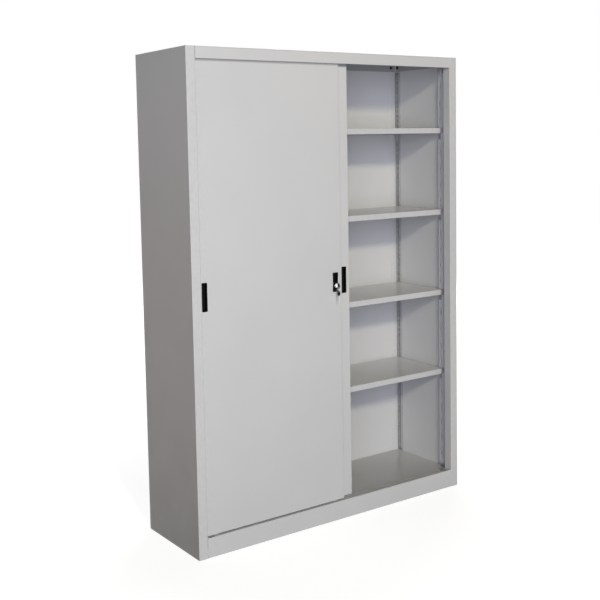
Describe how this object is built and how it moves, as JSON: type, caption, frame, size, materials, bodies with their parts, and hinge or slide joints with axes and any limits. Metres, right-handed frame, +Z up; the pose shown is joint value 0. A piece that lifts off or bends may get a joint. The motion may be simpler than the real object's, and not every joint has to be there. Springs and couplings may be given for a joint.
{
  "type": "sliding door cabinet",
  "caption": "Full height steel cupboard with two doors that slide past each other on rollers, adjustable shelves, recessed pulls and a key lock.",
  "frame": {"origin": "middle of the carcass's floor area, at floor level", "axes": "+X to the right seen from the front, +Y from the doors to the back panel, +Z up"},
  "size_m": [1.4, 0.435, 1.98],
  "materials": {
    "painted_steel": "light grey textured powder coat",
    "black_plastic": "black moulded plastic",
    "chrome": "polished",
    "plain_steel": "zinc plated",
    "black_steel": "black oxide",
    "nylon": "natural nylon",
    "dark_nylon": "dark nylon",
    "rubber": "grey rubber"
  },
  "bodies": {
    "carcass": {"left_side_panel": "painted_steel", "right_side_panel": "painted_steel", "top_panel": "painted_steel", "base_panel": "painted_steel", "plinth": "painted_steel", "back_panel": "painted_steel", "lower_track": "painted_steel", "upper_track": "painted_steel", "track_stops": "rubber", "shelf_upright_front_left": "painted_steel", "shelf_upright_front_right": "painted_steel", "shelf_upright_rear_left": "painted_steel", "shelf_upright_rear_right": "painted_steel", "shelf_1": "painted_steel", "shelf_2": "painted_steel", "shelf_3": "painted_steel", "shelf_4": "painted_steel", "shelf_stiffeners": "painted_steel", "shelf_clips": "plain_steel", "top_nuts": "black_steel", "back_screws": "plain_steel"},
    "front_door": {"front_door": "painted_steel", "front_door_stiffener": "painted_steel", "front_door_pull": "black_plastic", "front_roller_brackets": "plain_steel", "front_roller_axles": "plain_steel", "front_door_guides": "dark_nylon", "lock_plate": "black_plastic", "lock_barrel": "chrome", "lock_nut": "plain_steel"},
    "rear_door": {"rear_door": "painted_steel", "rear_door_stiffener": "painted_steel", "rear_door_pull": "black_plastic", "rear_roller_brackets": "plain_steel", "rear_roller_axles": "plain_steel", "rear_door_guides": "dark_nylon", "rear_door_strike": "plain_steel"},
    "front_roller_left": {"front_roller_left": "nylon"},
    "front_roller_right": {"front_roller_right": "nylon"},
    "rear_roller_left": {"rear_roller_left": "nylon"},
    "rear_roller_right": {"rear_roller_right": "nylon"},
    "lock_core": {"lock_plug": "chrome", "lock_cam": "plain_steel", "cam_screw": "plain_steel"},
    "key": {"key_blade": "plain_steel", "key_head": "black_plastic"},
    "key_ring": {"key_ring": "plain_steel", "spare_key_blade": "plain_steel", "spare_key_head": "black_plastic"}
  },
  "joints": [
    {"name": "front_door_slide", "type": "slide", "parent": "carcass", "child": "front_door", "axis": [1, 0, 0], "range_m": [0, 0.6305]},
    {"name": "rear_door_slide", "type": "slide", "parent": "carcass", "child": "rear_door", "axis": [1, 0, 0], "range_m": [-0.061, 0.5695]},
    {"name": "front_roller_left_spin", "type": "hinge", "parent": "front_door", "child": "front_roller_left", "pos_m": [-0.6135, -0.189, 0.0893], "axis": [0, 1, 0], "continuous": true},
    {"name": "front_roller_right_spin", "type": "hinge", "parent": "front_door", "child": "front_roller_right", "pos_m": [-0.017, -0.189, 0.0893], "axis": [0, 1, 0], "continuous": true},
    {"name": "rear_roller_left_spin", "type": "hinge", "parent": "rear_door", "child": "rear_roller_left", "pos_m": [-0.5525, -0.1675, 0.0893], "axis": [0, 1, 0], "continuous": true},
    {"name": "rear_roller_right_spin", "type": "hinge", "parent": "rear_door", "child": "rear_roller_right", "pos_m": [0.044, -0.1675, 0.0893], "axis": [0, 1, 0], "continuous": true},
    {"name": "lock_turn", "type": "hinge", "parent": "front_door", "child": "lock_core", "pos_m": [-0.004, -0.2, 1.012], "axis": [0, -1, 0], "range_deg": [0, 90]},
    {"name": "key_draw", "type": "slide", "parent": "lock_core", "child": "key", "axis": [0, -1, 0], "range_m": [0, 0.022]},
    {"name": "key_ring_swing", "type": "hinge", "parent": "key", "child": "key_ring", "pos_m": [-0.004, -0.2195, 1.00415], "axis": [0, 1, 0], "range_deg": [-8, 8]}
  ],
  "couplings": [
    {"joint": "front_roller_left_spin", "follows": "front_door_slide", "rad_per_m": 111.11},
    {"joint": "front_roller_right_spin", "follows": "front_door_slide", "rad_per_m": 111.11},
    {"joint": "rear_roller_left_spin", "follows": "rear_door_slide", "rad_per_m": 111.11},
    {"joint": "rear_roller_right_spin", "follows": "rear_door_slide", "rad_per_m": 111.11}
  ]
}
